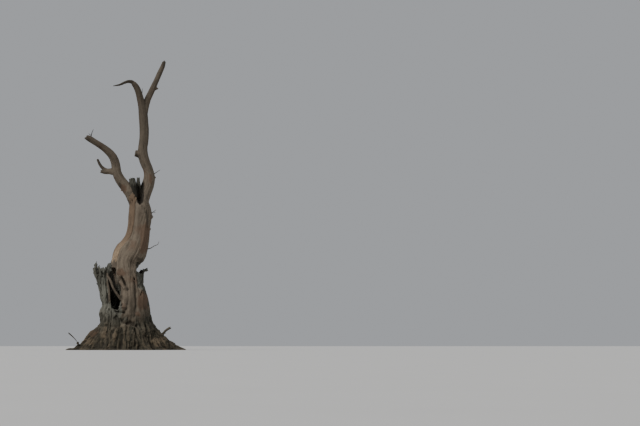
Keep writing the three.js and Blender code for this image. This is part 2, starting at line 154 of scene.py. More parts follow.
# The wood's grain: the middle line of each limb, as x, y, z and radius in metres.
grainLines = {
    "stem": [
        (0.07, 0.015, -0.06, 0.56), (0.095, -0.015, 0.43, 0.515), (0.115, -0.05, 0.9, 0.452),
        (0.1, -0.09, 1.23, 0.404), (0.07, -0.125, 1.48, 0.348), (0.02, -0.14, 1.74, 0.318),
        (-0.02, -0.145, 1.99, 0.318), (0.04, -0.14, 2.165, 0.348), (0.125, -0.13, 2.31, 0.338),
        (0.23, -0.11, 2.58, 0.275), (0.27, -0.1, 2.865, 0.254), (0.29, -0.09, 3.15, 0.27),
        (0.27, -0.07, 3.435, 0.22), (0.33, -0.02, 3.56, 0.17), (0.47, 0.055, 3.9, 0.143),
        (0.495, 0.085, 4.07, 0.134), (0.455, 0.095, 4.25, 0.122), (0.375, 0.085, 4.42, 0.127),
        (0.315, 0.05, 4.745, 0.112), (0.345, 0.02, 5.175, 0.106), (0.3, 0, 5.59, 0.102),
        (0.215, -0.06, 5.955, 0.086), (0.12, -0.16, 6.18, 0.071), (0.04, -0.21, 6.26, 0.05),
        (-0.065, -0.26, 6.265, 0.034), (-0.16, -0.31, 6.215, 0.028), (-0.26, -0.36, 6.15, 0.022),
        (-0.405, -0.425, 6.1, 0.007),
    ],
    "leftBough": [
        (0.19, -0.08, 3.4, 0.165), (-0.01, -0.125, 3.725, 0.133), (-0.18, -0.17, 3.92, 0.119),
        (-0.27, -0.205, 4.085, 0.106), (-0.3, -0.25, 4.28, 0.096), (-0.36, -0.305, 4.435, 0.091),
        (-0.48, -0.35, 4.565, 0.083), (-0.615, -0.39, 4.66, 0.075), (-0.775, -0.43, 4.75, 0.072),
        (-0.975, -0.465, 4.85, 0.054),
    ],
    "rightArm": [
        (0.32, 0.005, 5.52, 0.084), (0.35, 0.03, 5.72, 0.08), (0.465, 0.11, 6.08, 0.072),
        (0.61, 0.23, 6.465, 0.062), (0.75, 0.35, 6.845, 0.058), (0.78, 0.385, 6.96, 0.042),
    ],
    "leaderLeft": [(0.19, -0.12, 3.48, 0.13), (0.13, -0.15, 3.79, 0.096), (0.09, -0.15, 3.96, 0.078)],
    "leaderRight": [(0.26, -0.11, 3.56, 0.09), (0.235, -0.125, 3.88, 0.046), (0.23, -0.125, 3.985, 0.036)],
    "leftSpur": [(-0.285, -0.22, 4.11, 0.088), (-0.5, -0.165, 4.14, 0.058), (-0.645, -0.14, 4.26, 0.036),
                 (-0.72, -0.12, 4.41, 0.022)],
    "spurStub": [(-0.4, -0.19, 4.115, 0.062), (-0.635, -0.21, 4.105, 0.033)],
}


# A smooth line through the stations, sampled evenly within each span.
def through(stations, perSpan=10):
    spots = [np.array(s, float) for s in stations]
    spots = [2 * spots[0] - spots[1], *spots, 2 * spots[-1] - spots[-2]]
    line = []
    for a, b, c, d in zip(spots, spots[1:], spots[2:], spots[3:]):
        for t in np.arange(perSpan) / perSpan:
            line.append(0.5 * (2 * b + (c - a) * t + (2 * a - 5 * b + 4 * c - d) * t**2
                               + (3 * b - a - 3 * c + d) * t**3))
    line.append(spots[-2])
    return np.array(line)


# Where each point lies in a limb: two distances across the grain, as if the limb kept one radius all
# along, then the distance along it, its true distance from the middle, and the limb's radius.
def grainPlace(points, name):
    line = through(grainLines[name])
    spots, radii = line[:, :3], line[:, 3]
    ahead = np.gradient(spots, axis=0)
    ahead /= np.linalg.norm(ahead, axis=1)[:, None]
    front = np.array([0.0, -1.0, 0.0]) - ahead * -ahead[:, 1:2]
    front /= np.linalg.norm(front, axis=1)[:, None]
    side = np.cross(ahead, front)
    length = np.concatenate([[0], np.cumsum(np.linalg.norm(np.diff(spots, axis=0), axis=1))])
    tree = kdtree.KDTree(len(spots))
    for i, spot in enumerate(spots):
        tree.insert(spot, i)
    tree.balance()
    near = np.array([tree.find(p)[1] for p in points.tolist()])
    off = points - spots[near]
    along = length[near] + (off * ahead[near]).sum(1)
    sideways, forwards, even = (off * side[near]).sum(1), (off * front[near]).sum(1), 0.3 / radii[near]
    return np.stack([sideways * even, forwards * even, along], 1), np.hypot(sideways, forwards), radii[near]


# A natural unevenness, about -1 to 1, with one size across the grain and another along it.
def waves(places, across, along, octaves=3):
    scaled = places / (across, across, along)
    return np.array([noise.fractal(p, 1.0, 2.1, octaves) for p in scaled.tolist()])


# How far a narrow groove is sunk, 0 to 1, along the places where a slow wave passes zero.
def grooves(places, across, along, width):
    return np.clip(1 - np.abs(waves(places, across, along, 2)) / width, 0, 1)


# The height of a relief, layer upon layer.
def carved(places, layers):
    total = np.zeros(len(places))
    for layer in layers:
        if "narrow" in layer:
            form = grooves(places, *layer["grain"], layer["narrow"])
        else:
            form = waves(places, *layer["grain"])
        if "where" in layer:
            shift, across, along, low, high = layer["where"]
            form = form * ramp(waves(places + shift, across, along, 2), low, high)
        total += layer["out"] * form
    return total


# The torn face on the stem's left: height, bearing of its middle and half its width in degrees.
tornFace = {
    "stations": [(1.96, -160, 24), (2.05, -160, 32), (2.35, -160, 30), (2.6, -155, 31), (3.0, -151, 31),
                 (3.35, -144, 27), (3.5, -130, 21), (3.65, -118, 14), (3.82, -108, 3)],
    "groove": 0.032,
}
# Folds and creases, each a line across the front through its x, z places, with its width and how far
# it stands out.
folds = [
    {"through": [(0.30, 3.3), (0.36, 3.17), (0.42, 3.02), (0.46, 2.84)], "width": 0.035, "out": 0.026},
    {"through": [(0.40, 3.24), (0.5, 3.05), (0.53, 2.86)], "width": 0.035, "out": -0.022},
    {"through": [(-0.2, 1.84), (-0.17, 1.66), (-0.12, 1.52), (-0.03, 1.4)], "width": 0.028, "out": 0.04},
    {"through": [(-0.11, 1.66), (-0.02, 1.48), (0.05, 1.35)], "width": 0.03, "out": -0.03},
    {"through": [(-0.03, 1.4), (0.0, 1.2), (-0.04, 0.95), (-0.1, 0.72)], "width": 0.05, "out": 0.035},
    {"through": [(0.06, 1.75), (0.12, 1.5), (0.13, 1.2), (0.08, 0.8)], "width": 0.06, "out": 0.032},
    {"through": [(0.2, 1.55), (0.24, 1.3), (0.25, 1.0), (0.22, 0.76)], "width": 0.035, "out": -0.034},
    {"through": [(0.34, 1.4), (0.38, 1.15), (0.4, 0.8)], "width": 0.04, "out": 0.025},
    {"through": [(-0.22, 0.98), (-0.12, 0.95), (0.0, 0.97)], "width": 0.03, "out": 0.05},
    {"through": [(-0.2, 0.88), (-0.1, 0.84), (-0.03, 0.84)], "width": 0.035, "out": -0.05},
    {"through": [(-0.09, 0.66), (0.02, 0.61), (0.14, 0.62), (0.27, 0.56)], "width": 0.035, "out": -0.06},
    {"through": [(-0.24, 0.12), (-0.23, 0.32), (-0.16, 0.45), (-0.05, 0.53), (0.1, 0.55)], "width": 0.035,
     "out": 0.035},
    {"through": [(-0.3, 0.2), (-0.29, 0.4), (-0.2, 0.55)], "width": 0.035, "out": -0.04},
    {"through": [(0.26, 0.52), (0.27, 0.3), (0.24, 0.1)], "width": 0.035, "out": -0.045},
    {"through": [(-0.52, 0.5), (-0.48, 0.3), (-0.5, 0.1)], "width": 0.04, "out": 0.04},
    {"through": [(-0.4, 0.55), (-0.41, 0.35), (-0.38, 0.12)], "width": 0.04, "out": -0.045},
    {"through": [(-0.45, 1.8), (-0.47, 1.5), (-0.43, 1.2), (-0.47, 0.95)], "width": 0.03, "out": -0.04},
    {"through": [(-0.55, 1.75), (-0.57, 1.4), (-0.54, 1.1)], "width": 0.028, "out": -0.035},
]
# Where the wood seen from the front is paler, redder or darker: x, z and half sizes of each patch.
stains = [
    ("pale", -0.5, 1.3, 0.09, 0.22), ("pale", -0.46, 0.92, 0.16, 0.16), ("pale", -0.18, 0.95, 0.16, 0.05),
    ("pale", -0.47, 0.36, 0.05, 0.16), ("pale", -0.2, 0.38, 0.05, 0.22), ("pale", -0.04, 0.56, 0.16, 0.05),
    ("pale", -0.85, 0.22, 0.25, 0.1), ("pale", 0.3, 0.84, 0.12, 0.12), ("pale", 0.75, 0.2, 0.2, 0.1),
    ("pale", 0.02, 1.35, 0.1, 0.35), ("pale", 0.08, 0.85, 0.12, 0.12),
    ("ruddy", 0.42, 1.1, 0.14, 0.26), ("ruddy", 0.12, 0.58, 0.14, 0.05), ("ruddy", -0.1, 1.75, 0.1, 0.14),
    ("dark", -0.98, 4.82, 0.14, 0.12), ("dark", -0.66, 4.25, 0.16, 0.3), ("dark", 0.17, 4.5, 0.09, 0.14),
    ("dark", -0.25, 3.75, 0.12, 0.08), ("dark", 0.78, 6.98, 0.12, 0.2), ("dark", 0.0, 3.3, 0.05, 0.3),
    ("dark", 0.42, 3.0, 0.06, 0.3), ("dark", 0.3, 2.05, 0.12, 0.08), ("dark", 0.52, 5.1, 0.1, 0.3),
    ("ruddy", -0.12, 3.7, 0.12, 0.12), ("ruddy", 0.3, 4.15, 0.12, 0.12), ("ruddy", 0.5, 3.95, 0.06, 0.2),
    ("ruddy", 0.4, 2.5, 0.12, 0.4), ("ruddy", 0.28, 0.8, 0.1, 0.1), ("ruddy", -0.72, 0.4, 0.12, 0.1),
]
# Slivers of sound wood that cross the opening.
ribs = [
    [(-0.42, -0.415, 1.68), (-0.355, -0.47, 1.59), (-0.28, -0.5, 1.405), (-0.205, -0.495, 1.28),
     (-0.09, -0.43, 1.13)],
    [(-0.415, -0.415, 1.54), (-0.368, -0.45, 1.35), (-0.35, -0.46, 1.12), (-0.305, -0.45, 0.9)],
]


# Distance of each point from a line through several places.
def gapTo(points, places):
    least = np.full(len(points), 9.0)
    for a, b in zip(np.array(places[:-1]), np.array(places[1:])):
        t = np.clip(((points - a) @ (b - a)) / ((b - a) @ (b - a)), 0, 1)
        least = np.minimum(least, np.linalg.norm(points - (a + t[:, None] * (b - a)), axis=1))
    return least


def foldRelief(points, normals):
    total = np.zeros(len(points))
    wavy = points[:, [0, 2]] + 0.02 * np.stack([waves(points + k, 0.15, 0.15, 2) for k in (0.0, 5.3)], 1)
    for fold in folds:
        total += fold["out"] * np.exp(-((gapTo(wavy, fold["through"]) / fold["width"]) ** 2))
    return total * ramp(-normals[:, 1], 0.1, 0.6)


wood = {
    "voxel": 0.011,
    "weld": 0.0006,  # closes the hairline joints between the solids
    "trunkCuts": [0.64, 2.06],  # heights where the trunk's pieces part
    "turnedIn": 0.005,
    "nodes": {
        "trunk": "stem",
        "left_bough": "leftBough",
        "right_bough": "stem",
        "upper_left_arm": "stem",
        "upper_right_arm": "rightArm",
        "left_spur": "leftSpur",
        "left_spur_stub": "spurStub",
    },
    # Where one grain meets another, and how far off both are mixed.
    "joints": [(-0.035, -0.13, 3.755, 0.24), (0.37, 0.04, 5.78, 0.2), (-0.31, -0.215, 4.115, 0.16),
               (-0.43, -0.19, 4.115, 0.1)],
    "cleft": [(0.275, -0.3, 3.42), (0.262, -0.25, 3.6), (0.2, -0.2, 4.0)],  # middle of the rotten cleft, painted near-black: dark rot and painted shade
    "cleftReach": ((3.3, 3.45, 3.6, 3.8), (0.06, 0.09, 0.11, 0.16)),  # at these heights, this wide
    "rimFrom": 1.5,
    # The column of sound wood down the bole's front: height, and its left and right edges.
    "column": [(0.5, -0.02, 0.3), (0.7, -0.1, 0.46), (0.95, -0.07, 0.6), (1.2, -0.09, 0.58),
               (1.35, -0.12, 0.42), (1.45, -0.16, 0.29), (1.65, -0.22, 0.25), (2.0, -0.27, 0.26)],
}


def oneBody():
    copies = [nodeCopy(node, "part_" + node) for node in wood["nodes"]]
    for piece in copies:
        applied(piece, "DISPLACE", strength=wood["weld"], mid_level=0)
    pick(*copies)
    bpy.ops.object.join()
    body = copies[0]
    body.name = "body"
    applied(body, "REMESH", mode="VOXEL", voxel_size=wood["voxel"])
    rounded(body, 12)
    rounded(body, 30, back=-0.51, low=2.0, high=3.45)
    return body


body = oneBody()
print("one body:", len(body.data.vertices), "points")

# Each point belongs to the node whose solid lies nearest.
points, normals = pointsOf(body), pointsOf(body, "normal")
nodeNames = list(wood["nodes"])
crown = points[:, 2] > 3.35
owner = np.zeros(len(points), dtype=int)
gaps = []
for node in nodeNames:
    solid = frame["nodes"][node].data
    tree = BVHTree.FromPolygons([v.co for v in solid.vertices], [p.vertices for p in solid.polygons])
    gaps.append([tree.find_nearest(p)[3] for p in points[crown].tolist()])
owner[crown] = np.argmin(gaps, axis=0)

# How thick the wood is under each point: thin slivers take less relief.
mesh = body.data
mesh.calc_loop_triangles()
tree = BVHTree.FromPolygons(points.tolist(), [t.vertices for t in mesh.loop_triangles])
inward = np.array([tree.ray_cast(Vector(p) - Vector(n) * 0.002, -Vector(n), 0.3)[3] or 0.3
                   for p, n in zip(points.tolist(), normals.tolist())])
thick = np.clip(inward / 0.11, 0.15, 1) ** 1.6

place, across, radius = np.zeros_like(points), np.zeros(len(points)), np.zeros(len(points))
lineNames = sorted(set(wood["nodes"].values()))
lineOf = np.array([lineNames.index(wood["nodes"][node]) for node in nodeNames])[owner]
for k, name in enumerate(lineNames):
    mine = lineOf == k
    place[mine], across[mine], radius[mine] = grainPlace(points[mine], name)
# Where the kinds of wood meet, in metres: two values are a soft border, from none of it to all of it.
zones = {
    "boleMiddle": (-0.1, 0.045),
    "boleLean": (0.3, 1.5),  # heights between which the middle of the bole moves over
    "boleRound": 0.6,
    "rootsFrom": 0.62,
    "drift": 0.05,  # how far the borders wander
    "boleTop": (1.84, 2.08),
    "stemSide": (-0.07, -0.02),
    "stemCore": (0.05, 0.12),
    "stemFoot": (1.3, 1.6),
    "stemRight": 0.27,
    "columnFoot": (0.5, 0.78),
    "columnCore": (0.09, 0.14),
    "ribHalf": (0.045, 0.07),
    "ribFoot": (1.0, 1.15),
    "soundFrom": 2.35,
    "hollowFoot": (0.7, 0.85),
    "hollowTop": (2.3, 2.35),
    "hollowReach": (0.5, 0.56),
    "caveFoot": (0.8, 0.95),
    "caveFront": (-0.34, -0.26),
    "rotFrom": 3.1,
}
height = points[:, 2]
boleMiddle = np.array(zones["boleMiddle"])
# Round the old bole the grain runs straight up, and down its foot it runs with the roots.
overX = boleMiddle[0] * ramp(height, *zones["boleLean"])
around = np.arctan2(points[:, 1] - boleMiddle[1], points[:, 0] - overX)
reach = np.hypot(points[:, 0], points[:, 1])
upward = height - np.maximum(0, reach - zones["rootsFrom"])
outer = np.stack([zones["boleRound"] * np.cos(around), zones["boleRound"] * np.sin(around), upward], 1)

# How much of each kind of wood a point is: sound wood of the stem, old shell round it, and the rotten
# hollow, whose inside is painted near-black as shade.
drift = zones["drift"] * waves(points, 0.16, 0.3, 3)
inBole = 1 - ramp(height + 2.5 * drift, *zones["boleTop"])
fromRight = zones["stemRight"] - points[:, 0] + drift
depthIn = radius - across  # how far inside the stem's own round a point lies
stemWood = ramp(depthIn, *zones["stemSide"]) * (1 - ramp(depthIn, *zones["stemCore"]) * inBole)
stemWood *= ramp(height + 2 * drift, *zones["stemFoot"])
stemWood *= 1 - inBole * ramp(height, 1.3, 1.4) * (1 - ramp(fromRight, -0.03, 0.04)) * (points[:, 1] < 0)
heights, left, right = np.array(wood["column"]).T
fromLeft = points[:, 0] - np.interp(height, heights, left) + drift
fromRight = np.interp(height, heights, right) - points[:, 0] + drift
column = ramp(fromLeft, -0.03, 0.05) * ramp(fromRight + drift, -0.08, 0.08)
column *= ramp(-points[:, 1] + 3 * drift, -0.05, 0.3)
column *= ramp(height + 3 * drift, *zones["columnFoot"]) * (1 - ramp(depthIn, *zones["columnCore"]))
column *= inBole
rib = 1 - ramp(np.minimum(gapTo(points, ribs[0]), gapTo(points, ribs[1])), *zones["ribHalf"])
rib *= ramp(-points[:, 1], 0.36, 0.4) * ramp(height, *zones["ribFoot"])
sound = np.where(height > zones["soundFrom"], 1.0, np.maximum(stemWood, np.maximum(column, rib)))
fromMiddle = np.linalg.norm(points[:, :2] - boleMiddle, axis=1)
facing = ((points[:, :2] - boleMiddle) * normals[:, :2]).sum(1) / np.maximum(fromMiddle, 0.01)
# Inside the hollow, on faces that look inwards, and in the cave behind the stem, the wood is marked for
# near-black: painted shade.
hollow = ramp(height, *zones["hollowFoot"]) * (1 - ramp(height, *zones["hollowTop"]))
hollow *= ramp(-facing, -0.35, 0.15) * (1 - stemWood) * (1 - ramp(fromMiddle, *zones["hollowReach"]))
caveShade = inBole * ramp(depthIn, 0.07, 0.14) * ramp(height, *zones["caveFoot"])
caveShade *= ramp(points[:, 1], *zones["caveFront"])
hollow = np.maximum(hollow, caveShade) * (1 - rib)
# The cleft is told by where it is seen from the front; its depth counts little. It is painted near-black:
# dark rot, and painted shade inside the cleft.
flat = np.array([1, 0.35, 0.7])
inCleft = gapTo(points * flat, np.array(wood["cleft"]) * flat) + 0.5 * drift
inCleft /= np.interp(height, *wood["cleftReach"])
rot = (1 - ramp(inCleft, 0.6, 1.25)) * (height > zones["rotFrom"]) * (points[:, 1] < 0.1)
print("zones done")

stain = {name: np.zeros(len(points)) for name in ("pale", "ruddy", "dark")}
for name, x, z, halfWide, halfTall in stains:
    off = np.hypot((points[:, 0] + drift - x) / halfWide, (height + 2 * drift - z) / halfTall)
    inSight = (points[:, 1] < 0.1) | (height > 3)
    stain[name] = np.maximum(stain[name], (1 - ramp(off, 0.4, 1.1)) * inSight)
stain["dark"] = np.maximum(stain["dark"], 0.55 * rib)

# The torn face is a flat laid across the stem's round, with a groove down its front edge.
heights, middles, halves = np.array(tornFace["stations"]).T
onStem = (height > heights[0]) & (height < heights[-1]) & (points[:, 0] < 0.5)
stemPlace, stemAcross, stemRadius = place.copy(), across.copy(), radius.copy()
stemPlace[onStem], stemAcross[onStem], stemRadius[onStem] = grainPlace(points[onStem], "stem")
bearing = np.degrees(np.arctan2(-stemPlace[:, 1], stemPlace[:, 0]))
middle, half = np.interp(height, heights, middles), np.interp(height, heights, halves)
half = half + 60 * drift
offFace = (bearing - middle + 180) % 360 - 180
frayed = height + 0.09 * waves(stemPlace, 0.05, 0.6, 2)
fadeEnds = ramp(frayed, heights[0], heights[0] + 0.14) * (1 - ramp(frayed, heights[-1] - 0.25, heights[-1]))
onFace = onStem * (np.abs(offFace) < half) * fadeEnds
chord = np.cos(np.radians(half)) / np.cos(np.radians(np.clip(offFace, -half, half)))
inset = onFace * np.maximum(0, stemAcross - stemRadius * chord) * 0.8 * (1 - ramp(height, 3.3, 3.5))
grooveAt = np.exp(-((((offFace - half) / 5.5) ** 2))) * onStem * fadeEnds
grooveAt *= ramp(height, 2.35, 2.75) * (1 - ramp(height, 3.45, 3.6))
torn = onFace * ramp(half - np.abs(offFace), 0, 4) * (1 - rot)

# The relief of each kind of wood, in metres. Each layer has its height, its size across and along the
# grain, for grooves how narrow they are, and for some where they show: the shift, size and limits of a
# slower wave.
carving = {
    "limb": [
        {"out": 0.018, "grain": (0.26, 0.8)},
        {"out": 0.006, "grain": (0.07, 0.6)},
        {"out": -0.011, "grain": (0.22, 1.8), "narrow": 0.1, "where": (4, 0.2, 0.5, -0.2, 0.2)},
        {"out": -0.007, "grain": (0.1, 1.0), "narrow": 0.14, "where": (9, 0.15, 0.4, -0.1, 0.25)},
    ],
    "joint": [{"out": 0.016, "grain": (0.14, 0.25)}, {"out": 0.004, "grain": (0.05, 0.08)}],
    "shell": [
        {"out": 0.022, "grain": (0.22, 0.7)},
        {"out": -0.034, "grain": (0.12, 1.3), "narrow": 0.13},
        {"out": -0.012, "grain": (0.05, 0.7), "narrow": 0.15},
        {"out": 0.007, "grain": (0.035, 0.3)},
    ],
    "foot": [
        {"out": 0.03, "grain": (0.15, 0.55)},
        {"out": -0.05, "grain": (0.34, 1.8), "narrow": 0.22},
        {"out": -0.036, "grain": (0.12, 1.1), "narrow": 0.12},
    ],
    "footLumps": [
        {"out": 0.016, "grain": (0.09, 0.07)},
        {"out": -0.014, "grain": (0.11, 0.11), "narrow": 0.1},
    ],
    "torn": [{"out": 0.006, "grain": (0.03, 0.3)}, {"out": -0.01, "grain": (0.07, 0.8), "narrow": 0.2}],
    # Old wood breaks into cells that stand at different heights, with a crease between them.
    "cells": {"size": (0.11, 0.42), "bend": 0.05, "shellStep": 0.026, "footStep": 0.016, "crease": 0.02,
              "creaseWidth": 0.1},
    "rimUpDown": 0.075,
    "hemInOut": 0.09,
    "sliverThicker": 0.006,
    "creviceDepth": 0.018,
    "fullRadius": 0.27,  # thinner limbs take a smaller share of it
    "least": 0.25,
}

size = np.clip(radius / carving["fullRadius"], carving["least"], 1.0)
limbRelief = size * carved(place, carving["limb"])
jointRelief = size * carved(points, carving["joint"])
cell = carving["cells"]
bent = outer + cell["bend"] * np.stack([waves(outer + k, 0.2, 0.35, 2) for k in (0.0, 3.1, 6.7)], 1)
across, along = cell["size"]
found = [noise.voronoi((p[0] / across, p[1] / across, p[2] / along)) for p in bent.tolist()]
edge = np.array([gaps[1] - gaps[0] for gaps, middles in found])
step = np.array([noise.cell(middles[0] * 7.3) for gaps, middles in found]) - 0.5
crease = np.clip(1 - edge / cell["creaseWidth"], 0, 1)
shellRelief = carved(outer, carving["shell"]) + cell["shellStep"] * step - cell["crease"] * crease
footRelief = carved(outer, carving["foot"]) + carved(points, carving["footLumps"]) + cell["footStep"] * step
footShare = 1 - ramp(height, 0.45, 0.95)
rough = 1 - sound
relief = sound * limbRelief + rough * (footShare * footRelief + (1 - footShare) * shellRelief)
relief += foldRelief(points, normals) * (1 - hollow) - inset - tornFace["groove"] * grooveAt
relief += torn * carved(stemPlace, carving["torn"])
joint = np.zeros(len(points))
for x, y, z, reach in wood["joints"]:
    joint = np.maximum(joint, 1 - ramp(np.linalg.norm(points - (x, y, z), axis=1), 0.4 * reach, reach))
relief = (relief * (1 - joint) + jointRelief * joint) * thick
relief = 0.4 * relief + 0.6 * neighbourMean(body, relief[:, None])[:, 0]  # no beads along narrow grooves
relief += carving["sliverThicker"] * (1 - ramp(inward, 0.02, 0.06))
moved = points + normals * relief[:, None]

# The rim is torn up and down, and the cut at the ground stays flat.
onRim = ramp(height, wood["rimFrom"], 1.75) * (1 - ramp(height, 2.3, 2.35)) * (1 - stemWood) * (1 - rib)
moved[:, 2] += onRim * thick * carving["rimUpDown"] * waves(points * (1, 1, 0.2), 0.05, 0.3, 2)
moved[:, 2] = np.maximum(height + (moved[:, 2] - height) * ramp(height, 0.0, 0.08), 0)
moved[height < 0.004, 2] = 0
# The hem runs in and out along the ground.
toHem = np.stack([np.cos(around), np.sin(around), 0 * around], 1)
drawnIn = carving["hemInOut"] * ramp(reach, 0.7, 1.2) * np.abs(waves(toHem, 0.2, 1))
moved[:, :2] *= (1 - drawnIn)[:, None]
movePoints(body, moved)
print("relief done")

# Crevices and ridges: how far each point lies inside or outside its surroundings, 0.5 between. The material
# paints shade into the crevices from it and makes the ridges paler.
evened = pointsOf(body)
for again in range(14):
    evened = neighbourMean(body, evened)
sunk = ((evened - pointsOf(body)) * pointsOf(body, "normal")).sum(1)
deep = np.clip(0.5 + sunk / carving["creviceDepth"], 0, 1)
deep = neighbourMean(body, neighbourMean(body, deep[:, None]))[:, 0]
masks = {"sound": sound, "torn": torn, "hollow": hollow, "rot": rot, "joint": joint, "deep": deep, **stain}
for name, values in {**masks, "grain": place, "outer": outer}.items():
    keep(body, name, values)
shading = pointsOf(body, "normal")
onHem = (pointsOf(body)[:, 2] < 0.03) & (shading[:, 2] > -0.9)
shading[onHem, 2] = np.maximum(shading[onHem, 2], 0.2)
keep(body, "shading", shading)


# One of the body's pieces: the faces that belong to it, closed where they were parted from the rest.
def parted(name, faces):
    piece = bpy.data.objects.new(name, body.data.copy())
    scene.collection.objects.link(piece)
    pick(piece)
    bpy.ops.object.mode_set(mode="EDIT")
    bpy.ops.mesh.select_mode(type="FACE")
    bpy.ops.object.mode_set(mode="OBJECT")
    piece.data.polygons.foreach_set("select", ~faces)
    bpy.ops.object.mode_set(mode="EDIT")
    bpy.ops.mesh.delete(type="FACE")
    # The open edge is turned in under the surface before it is closed, so that its cap stays unseen.
    bpy.ops.mesh.select_mode(type="EDGE")
    bpy.ops.mesh.select_all(action="DESELECT")
    bpy.ops.mesh.select_non_manifold(extend=False, use_wire=False, use_multi_face=False,
                                     use_non_contiguous=False, use_verts=False)
    bpy.ops.mesh.extrude_edges_move()
    bpy.ops.object.mode_set(mode="OBJECT")
    turned = fieldOf(piece.data.vertices, "select", kind=bool)
    kept = fieldOf(piece.data.attributes["shading"].data, "vector", 3)
    movePoints(piece, pointsOf(piece) - wood["turnedIn"] * turned[:, None] * kept)
    bpy.ops.object.mode_set(mode="EDIT")
    bpy.ops.mesh.select_all(action="SELECT")
    bpy.ops.mesh.fill_holes(sides=0)
    bpy.ops.mesh.select_all(action="SELECT")
    bpy.ops.mesh.normals_make_consistent(inside=False)
    bpy.ops.object.mode_set(mode="OBJECT")
    bpy.ops.object.shade_smooth()
    if (kept * pointsOf(piece, "normal")).sum() < 0:  # turned inside out by the caps
        bpy.ops.object.mode_set(mode="EDIT")
        bpy.ops.mesh.select_all(action="SELECT")
        bpy.ops.mesh.flip_normals()
        bpy.ops.object.mode_set(mode="OBJECT")
    # The whole body's shading is kept, so that no line shows where two pieces meet.
    piece.data.normals_split_custom_set_from_vertices(kept.tolist())
    piece.data.attributes.remove(piece.data.attributes["shading"])
    return piece


splinterRoots = {"at": pointsOf(body), "out": pointsOf(body, "normal")}

# Which piece each point belongs to, evened out so that no piece holds crumbs of another.
inTrunk = np.searchsorted(wood["trunkCuts"], height)  # foot, hollow bole, stem
owner = np.where(owner == 0, inTrunk, owner + 2)
for again in range(8):
    votes = (owner[:, None] == np.arange(len(nodeNames) + 2)).astype(float)
    owner = (0.3 * votes + neighbourMean(body, votes)).argmax(1)

corners = fieldOf(body.data.loops, "vertex_index", kind=int)
cornerEdges = fieldOf(body.data.loops, "edge_index", kind=int)
starts = fieldOf(body.data.polygons, "loop_start", kind=int)
edgeEnds = fieldOf(body.data.edges, "vertices", 2, np.int64)
cornerFaces = np.repeat(np.arange(len(starts)), np.diff(np.append(starts, len(corners))))
faceOwner = owner[corners[starts]]
# Where two stretches of a border touch at one point, the faces round it all go to one piece.
for again in range(6):
    lowest, highest = np.full(len(edgeEnds), 99), np.full(len(edgeEnds), -1)
    np.minimum.at(lowest, cornerEdges, faceOwner[cornerFaces])
    np.maximum.at(highest, cornerEdges, faceOwner[cornerFaces])
    borders = np.bincount(edgeEnds[lowest != highest].ravel(), minlength=len(owner))
    knots = (borders > 2)[corners]
    faceOwner[cornerFaces[knots]] = owner[corners[knots]]

pieceNames = ["foot", "hollowBole", "stem"]
for node in nodeNames[1:]:
    words = node.split("_")
    pieceNames.append(words[0] + "".join(word.title() for word in words[1:]))
made = {}
for k, name in enumerate(pieceNames):
    made[name] = parted(name, faceOwner == k)
    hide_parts("trunk" if k < 3 else nodeNames[k - 2])
bpy.data.objects.remove(body)
for name, piece in made.items():
    print(name, len(piece.data.polygons), "faces")

# Splinters stand up from the broken rim and peel off the old shell's sides.
splinter = {
    "seed": 23,
    "rim": {"count": 46, "length": (0.02, 0.06), "width": (0.007, 0.017), "lean": 0.3, "up": (1.0, 1.0)},
    "sides": {"count": 70, "length": (0.04, 0.11), "width": (0.01, 0.024), "lean": 0.4, "up": (-1.0, 1.0)},
    "rings": [(0.0, 1.0), (0.4, 1.0), (0.8, 0.75), (1.0, 0.4)],  # share of the length, share of the width
    "corners": 6,
    "flat": 0.35,
    "sunk": 0.012,
    "bend": (-0.12, 0.2),
    "uneven": (-0.2, 0.2),
    "ragged": (-0.15, 0.15),
}


def splinterPiece():
    dice = random.Random(splinter["seed"])
    at, out = splinterRoots["at"], splinterRoots["out"]
    onEdge = (onRim > 0.6) & (thick < 0.35) & (out[:, 2] > 0.3) & (hollow < 0.5)
    onSide = (sound < 0.2) & (np.abs(out[:, 2]) < 0.5) & (height > 0.35) & (height < 1.85)
    onSide &= (hollow < 0.1) & (thick > 0.3)
    n, rings = splinter["corners"], splinter["rings"]
    spots, faces = [], []
    for kind, choice in (("rim", onEdge), ("sides", onSide)):
        spec = splinter[kind]
        for i in dice.sample(np.flatnonzero(choice).tolist(), spec["count"]):
            length, width = dice.uniform(*spec["length"]), dice.uniform(*spec["width"])
            upward = Vector((dice.uniform(-0.5, 0.5), dice.uniform(-0.5, 0.5), dice.choice(spec["up"])))
            ahead = (upward + spec["lean"] * Vector(out[i])).normalized()
            side = ahead.cross(Vector(out[i])).normalized()
            flatWay = ahead.cross(side)
            bend = dice.uniform(*splinter["bend"]) * length
            root = Vector(at[i] - splinter["sunk"] * out[i])
            first = len(spots)
            for share, wide in rings:
                middle = root + ahead * length * share + flatWay * bend * share**2
                for k in range(n):
                    turn = 2 * math.pi * k / n
                    reachOut = side * math.cos(turn) + splinter["flat"] * flatWay * math.sin(turn)
                    rough = 1 + dice.uniform(*splinter["uneven"])
                    ragged = ahead * length * share**3 * dice.uniform(*splinter["ragged"])
                    spots.append(middle + ragged + rough * wide * width * reachOut)
            for ring in range(len(rings) - 1):
                a = first + ring * n
                faces += [(a + k, a + (k + 1) % n, a + n + (k + 1) % n, a + n + k) for k in range(n)]
            faces.append([first + k for k in reversed(range(n))])
            faces.append([len(spots) - n + k for k in range(n)])
    shape = bpy.data.meshes.new("splinters")
    shape.from_pydata(spots, [], faces)
    piece = bpy.data.objects.new("splinters", shape)
    scene.collection.objects.link(piece)
    pick(piece)
    bpy.ops.object.shade_smooth_by_angle(angle=math.radians(50))
    for name in masks:
        keep(piece, name, np.full(len(spots), 0.5 if name == "deep" else 0.0))
    for name in ("grain", "outer"):
        keep(piece, name, pointsOf(piece))
    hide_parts("trunk")
    return piece


made["splinters"] = splinterPiece()
print("splinters done")

